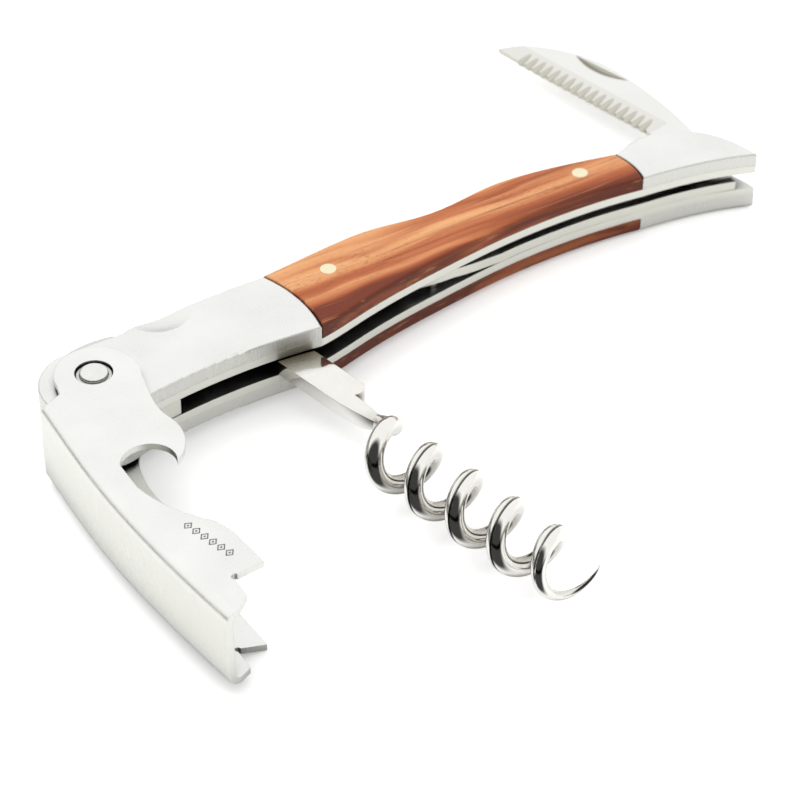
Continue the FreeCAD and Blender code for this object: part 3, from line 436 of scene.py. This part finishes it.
def wire_stations():
    """Centre, direction, outward vector, radius and groove depth of each section, from the neck to the tip."""
    knots = (Vector(LEAD_START), Vector((LEAD_PULL, 0.0, 0.0)),
             coil_point(LEAD_END), coil_direction(LEAD_END) * LEAD_PULL)
    for i in range(LEAD_STEPS):
        t = i / LEAD_STEPS
        weights = (2 * t ** 3 - 3 * t ** 2 + 1, t ** 3 - 2 * t ** 2 + t,
                   3 * t ** 2 - 2 * t ** 3, t ** 3 - t ** 2)
        slopes = (6 * t ** 2 - 6 * t, 3 * t ** 2 - 4 * t + 1, 6 * t - 6 * t ** 2, 3 * t ** 2 - 2 * t)
        centre = sum((knot * w for knot, w in zip(knots, weights)), Vector())
        direction = sum((knot * w for knot, w in zip(knots, slopes)), Vector()).normalized()
        thickening = smooth(between(0.0, 0.7, t))
        yield centre, direction, outward_at(LEAD_END * t), NECK_RADIUS + (WIRE - NECK_RADIUS) * thickening, 0.0
    for i in range(round((TIP_TURN - LEAD_END) * STEPS_PER_TURN) + 1):
        turn = LEAD_END + i / STEPS_PER_TURN
        taper = between(TIP_TURN, TAPER_FROM, turn)
        run_in = between(GROOVE_FROM, GROOVE_FROM + GROOVE_RUN_IN, turn)
        run_out = between(TAPER_FROM + GROOVE_RUN_OUT, TAPER_FROM, turn)
        yield (coil_point(turn), coil_direction(turn), outward_at(turn),
               TIP_RADIUS + (WIRE - TIP_RADIUS) * taper, GROOVE_DEPTH * run_in * run_out)


def wire_mesh():
    """The round wire with its sharp little groove, closed at both ends."""
    groove_bottom = 1
    around = [GROOVE_SIDE + step for step in (-GROOVE_HALF_WIDTH, 0.0, GROOVE_HALF_WIDTH)]
    around += [GROOVE_SIDE + ROUND_FROM + (360.0 - 2.0 * ROUND_FROM) * i / (ROUND_POINTS - 1)
               for i in range(ROUND_POINTS)]
    mesh = bmesh.new()
    rings = []
    for centre, direction, outward, radius, groove in wire_stations():
        outward = (outward - direction * outward.dot(direction)).normalized()
        side = direction.cross(outward)
        ring = []
        for number, degrees in enumerate(around):
            angle = math.radians(degrees)
            reach = radius - (groove if number == groove_bottom else 0.0)
            ring.append(mesh.verts.new(centre + (outward * math.cos(angle) + side * math.sin(angle)) * reach))
        rings.append(ring)
    count = len(around)
    for a, b in zip(rings, rings[1:]):
        for i in range(count):
            mesh.faces.new((a[i], a[(i + 1) % count], b[(i + 1) % count], b[i]))
    mesh.faces.new(rings[0][::-1])
    mesh.faces.new(rings[-1])
    bmesh.ops.recalc_face_normals(mesh, faces=mesh.faces)
    return mesh


def arc_points(start, through, end, count=12):
    """Points on the circle through three points, from the first to just before the last."""
    a, b, c = Vector(start), Vector(through), Vector(end)
    turned = 2.0 * ((b - a).cross(c - b))
    weighed = a.length_squared * (b - c) + b.length_squared * (c - a) + c.length_squared * (a - b)
    centre = Vector((-weighed.y, weighed.x)) / -turned
    first, last = a - centre, c - centre
    sweep = math.atan2(first.cross(last), first.dot(last))
    middle = math.atan2(first.cross(b - centre), first.dot(b - centre))
    if sweep * middle < 0 or abs(middle) > abs(sweep):
        sweep -= math.copysign(math.tau, sweep)
    points = []
    for i in range(count):
        angle = sweep * i / count
        points.append(centre + Vector((first.x * math.cos(angle) - first.y * math.sin(angle),
                                       first.x * math.sin(angle) + first.y * math.cos(angle))))
    return points


def shank_outline():
    """Seen from above: the round tang, the straight shank, a step on one side and the drawn-out neck."""
    corner, reach = math.sqrt(TANG_RADIUS ** 2 - HALF_WIDTH ** 2), SHANK_REACH
    neck_end_low, neck_end_high = (NECK_TO, -1.95), (NECK_TO, -0.75)
    return (arc_points((-corner, HALF_WIDTH), (-TANG_RADIUS, 0.0), (-corner, -HALF_WIDTH))
            + [Vector((-corner, -HALF_WIDTH))]
            + arc_points((reach - 2.0, -HALF_WIDTH - 0.3), (reach + 2.6, -HALF_WIDTH - 0.10), neck_end_low, 16)
            + [Vector(neck_end_low)]
            + arc_points(neck_end_high, (reach + 3.6, -0.36), (reach + 0.4, -0.15), 12)
            + arc_points((reach + 0.4, -0.15), (reach + 0.55, 1.3), (reach - 0.6, HALF_WIDTH - 0.25), 8)
            + [Vector((reach - 0.6, HALF_WIDTH - 0.25))])


def shank_mesh():
    """The flat shank as a plate with a hole for its pin and softly rolled edges."""
    corners = 32
    hole = [Vector((PIN_HOLE, 0.0)) @ Matrix.Rotation(-math.tau * i / corners, 2) for i in range(corners)]
    mesh = bmesh.new()
    rim = []
    for loop in (shank_outline(), hole):
        points = [mesh.verts.new((p.x, p.y, -HALF_THICKNESS)) for p in loop]
        rim += [mesh.edges.new((points[i - 1], points[i])) for i in range(len(points))]
    bmesh.ops.triangle_fill(mesh, use_beauty=True, use_dissolve=False, edges=rim)
    raised = bmesh.ops.extrude_face_region(mesh, geom=mesh.faces[:])["geom"]
    for vertex in raised:
        if isinstance(vertex, bmesh.types.BMVert):
            vertex.co.z = HALF_THICKNESS
    bmesh.ops.recalc_face_normals(mesh, faces=mesh.faces)
    rolled = [e for e in mesh.edges if len(e.link_faces) == 2 and e.calc_face_angle() > math.radians(SHARP_EDGE)
              and abs(e.verts[0].co.z - e.verts[1].co.z) < 0.01 and e.verts[0].co.xy.length > 2 * PIN_HOLE]
    bmesh.ops.bevel(mesh, geom=rolled, offset=ROLLED_EDGE, offset_type="OFFSET", segments=4, profile=0.5,
                    affect="EDGES", clamp_overlap=True)
    path = [centre for centre, *_ in wire_stations() if centre.x < NECK_TO + 2.0]
    for vertex in mesh.verts:
        if vertex.co.x > NECK_FROM:
            before = max((p for p in path if p.x <= vertex.co.x), key=lambda p: p.x)
            after = min((p for p in path if p.x > vertex.co.x), key=lambda p: p.x)
            share = between(before.x, after.x, vertex.co.x)
            slimmer = 1.0 - NECK_THINNING * smooth(between(NECK_FROM, NECK_TO, vertex.co.x))
            vertex.co.z = vertex.co.z * slimmer + before.z + (after.z - before.z) * share
    return mesh


def make_worm():
    """Joins the shank and the wire into one closed surface and puts it in the CAD worm's place."""
    turned = Matrix.Rotation(math.radians(WORM_DIRECTION), 4, "Z")
    place = Matrix.Translation(pivots["worm_fold"]) @ turned @ Matrix.Scale(MM, 4)
    parts = []
    for name, build in (("worm_shank", shank_mesh), ("worm_wire", wire_mesh)):
        mesh = bpy.data.meshes.new(name)
        built = build()
        built.to_mesh(mesh)
        built.free()
        parts.append(bpy.data.objects.new(name, mesh))
        bpy.context.scene.collection.objects.link(parts[-1])
    shank, wire = parts
    union = shank.modifiers.new("join", "BOOLEAN")
    union.operation, union.solver, union.object = "UNION", "EXACT", wire
    bpy.context.view_layer.update()
    joined = bpy.data.meshes.new_from_object(shank.evaluated_get(bpy.context.evaluated_depsgraph_get()))
    for part in parts:
        bpy.data.objects.remove(part)
    joined.transform(place)
    joined.polygons.foreach_set("use_smooth", [True] * len(joined.polygons))
    joined.set_sharp_from_angle(angle=math.radians(CREASE))
    joined.materials.clear()
    joined.materials.append(worm_steel)
    worm = bpy.data.objects.new("forged_worm", joined)
    bpy.context.scene.collection.objects.link(worm)
    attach(worm, "worm")
    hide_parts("worm")


make_worm()


# ---------------------------------------------------------------- stage: floor, light and camera

AIM = Vector((-23.6, -20.83, 0.0)) * MM
AZIMUTH, ELEVATION, DISTANCE = -33.0, 39.0, 414.3
LENS, SENSOR, FOCUS_NEARER, F_STOP = 130.5, 36.0, 22.3, 64.0
FLOOR_HALF, FLOOR_GAP, FLOOR_LIFT = 3000.0, 0.02, 0.30
TENT_WHITE = (1.0, 1.0, 0.985, 1.0)
SEAM_LEVEL, SEAM_BOTTOM, SEAM_TOP, SEAM_FADE, SEAM_END = 0.05, (-0.02, 0.04), 0.12, 0.12, (0.45, 0.62)


def resting_plane():
    """The plane that the object stands on: the hull face under its middle, as a point and an upward normal."""
    hull = bmesh.new()
    for part in nodes.values():
        for vertex in part.data.vertices:
            hull.verts.new(vertex.co)
    result = bmesh.ops.convex_hull(hull, input=hull.verts)
    scale = [vertex.co for vertex in nodes["upper_scale"].data.vertices]
    middle = sum(scale, Vector()) / len(scale)
    below = [f for f in result["geom"] if isinstance(f, bmesh.types.BMFace) and f.normal.z < -0.9]
    for face in below:
        a, b, c = (v.co.xy for v in face.verts[:3])
        inside = [(q - p).cross(middle.xy - p) for p, q in ((a, b), (b, c), (c, a))]
        if all(s <= 0 for s in inside) or all(s >= 0 for s in inside):
            plane = (face.verts[0].co.copy(), -face.normal.copy())
    hull.free()
    return plane


def make_floor():
    """A wide white table that looks evenly lit to the camera and still takes the object's shadow."""
    spot, normal = resting_plane()
    mesh = bpy.data.meshes.new("floor")
    h = FLOOR_HALF * MM
    mesh.from_pydata([(-h, -h, 0), (h, -h, 0), (h, h, 0), (-h, h, 0)], [], [(0, 1, 2, 3)])
    floor = bpy.data.objects.new("floor", mesh)
    floor.rotation_mode = "QUATERNION"
    floor.rotation_quaternion = normal.to_track_quat("Z", "Y")
    floor.location = spot - normal * FLOOR_GAP * MM
    bpy.context.scene.collection.objects.link(floor)
    recipe = Recipe("table_white")
    speckle = recipe.noise((0.3, 0.3, 0.3), detail=4.0)
    seen = recipe.add("ShaderNodeLightPath").outputs["Is Camera Ray"]
    recipe.surface(base_color=recipe.mix(speckle, (0.89, 0.89, 0.89), (0.92, 0.92, 0.92)), roughness=0.7,
                   specular=0.1, emission_color=(1.0, 1.0, 1.0),
                   emission_strength=recipe.times(seen, FLOOR_LIFT))
    mesh.materials.append(recipe.material)


def make_surroundings():
    """A white tent all round. Reflections also see a dark seam just above the table, except at its right."""
    world = bpy.data.worlds.new("tent")
    bpy.context.scene.world = world
    world.use_nodes = True
    tree = world.node_tree
    background = tree.nodes["Background"]

    def add(kind, inputs, **settings):
        node = tree.nodes.new(kind)
        for name, value in settings.items():
            setattr(node, name, value)
        for name, value in inputs.items():
            if isinstance(value, bpy.types.NodeSocket):
                tree.links.new(value, node.inputs[name])
            else:
                node.inputs[name].default_value = value
        return node.outputs

    def fade(value, low, high, to_low, to_high, **settings):
        return add("ShaderNodeMapRange", {"Value": value, "From Min": low, "From Max": high, "To Min": to_low,
                                          "To Max": to_high}, **settings)[0]

    def maths(operation, a, b):
        return add("ShaderNodeMath", {0: a, 1: b}, operation=operation)[0]

    direction = add("ShaderNodeSeparateXYZ", {0: add("ShaderNodeTexCoord", {})["Generated"]})
    height, rightward = direction["Z"], direction["X"]
    under = fade(height, *SEAM_BOTTOM, 1.0, SEAM_LEVEL, interpolation_type="SMOOTHSTEP")
    over = fade(height, SEAM_TOP, SEAM_TOP + SEAM_FADE, 0.0, 1.0, interpolation_type="SMOOTHSTEP")
    seam = maths("MAXIMUM", maths("MAXIMUM", under, over), fade(rightward, *SEAM_END, 0.0, 1.0))
    not_reflected = maths("SUBTRACT", 1.0, add("ShaderNodeLightPath", {})["Is Glossy Ray"])
    tree.links.new(maths("MAXIMUM", seam, not_reflected), background.inputs["Strength"])
    background.inputs["Color"].default_value = TENT_WHITE


def looking(obj, azimuth, elevation, distance):
    """Puts a lamp or camera at a distance from the middle of the object, facing it."""
    back = view_back(azimuth, elevation)
    obj.location = AIM + back * distance * MM
    obj.rotation_mode = "QUATERNION"
    obj.rotation_quaternion = back.to_track_quat("Z", "Y")
    bpy.context.scene.collection.objects.link(obj)
    return obj


def make_lamp(name, side, power, *place):
    """A square soft box, which itself isn't mirrored in the metal."""
    lamp = bpy.data.lights.new(name, "AREA")
    lamp.size, lamp.energy = side * MM, power
    looking(bpy.data.objects.new(name, lamp), *place).visible_glossy = False


def make_camera():
    """A long lens, focused a little in front of the object's middle."""
    data = bpy.data.cameras.new("camera")
    data.lens, data.sensor_width = LENS, SENSOR
    data.clip_start, data.clip_end = 0.01, 20.0
    focus = looking(bpy.data.objects.new("focus", None), AZIMUTH, ELEVATION, FOCUS_NEARER)
    data.dof.use_dof = True
    data.dof.focus_object, data.dof.aperture_fstop = focus, F_STOP
    camera = looking(bpy.data.objects.new("camera", data), AZIMUTH, ELEVATION, DISTANCE)
    bpy.context.scene.camera = camera


make_floor()
make_surroundings()
make_lamp("key", 500.0, 1.5, 200.0, 60.0, 600.0)
make_camera()
bpy.context.scene.view_settings.view_transform = "Standard"
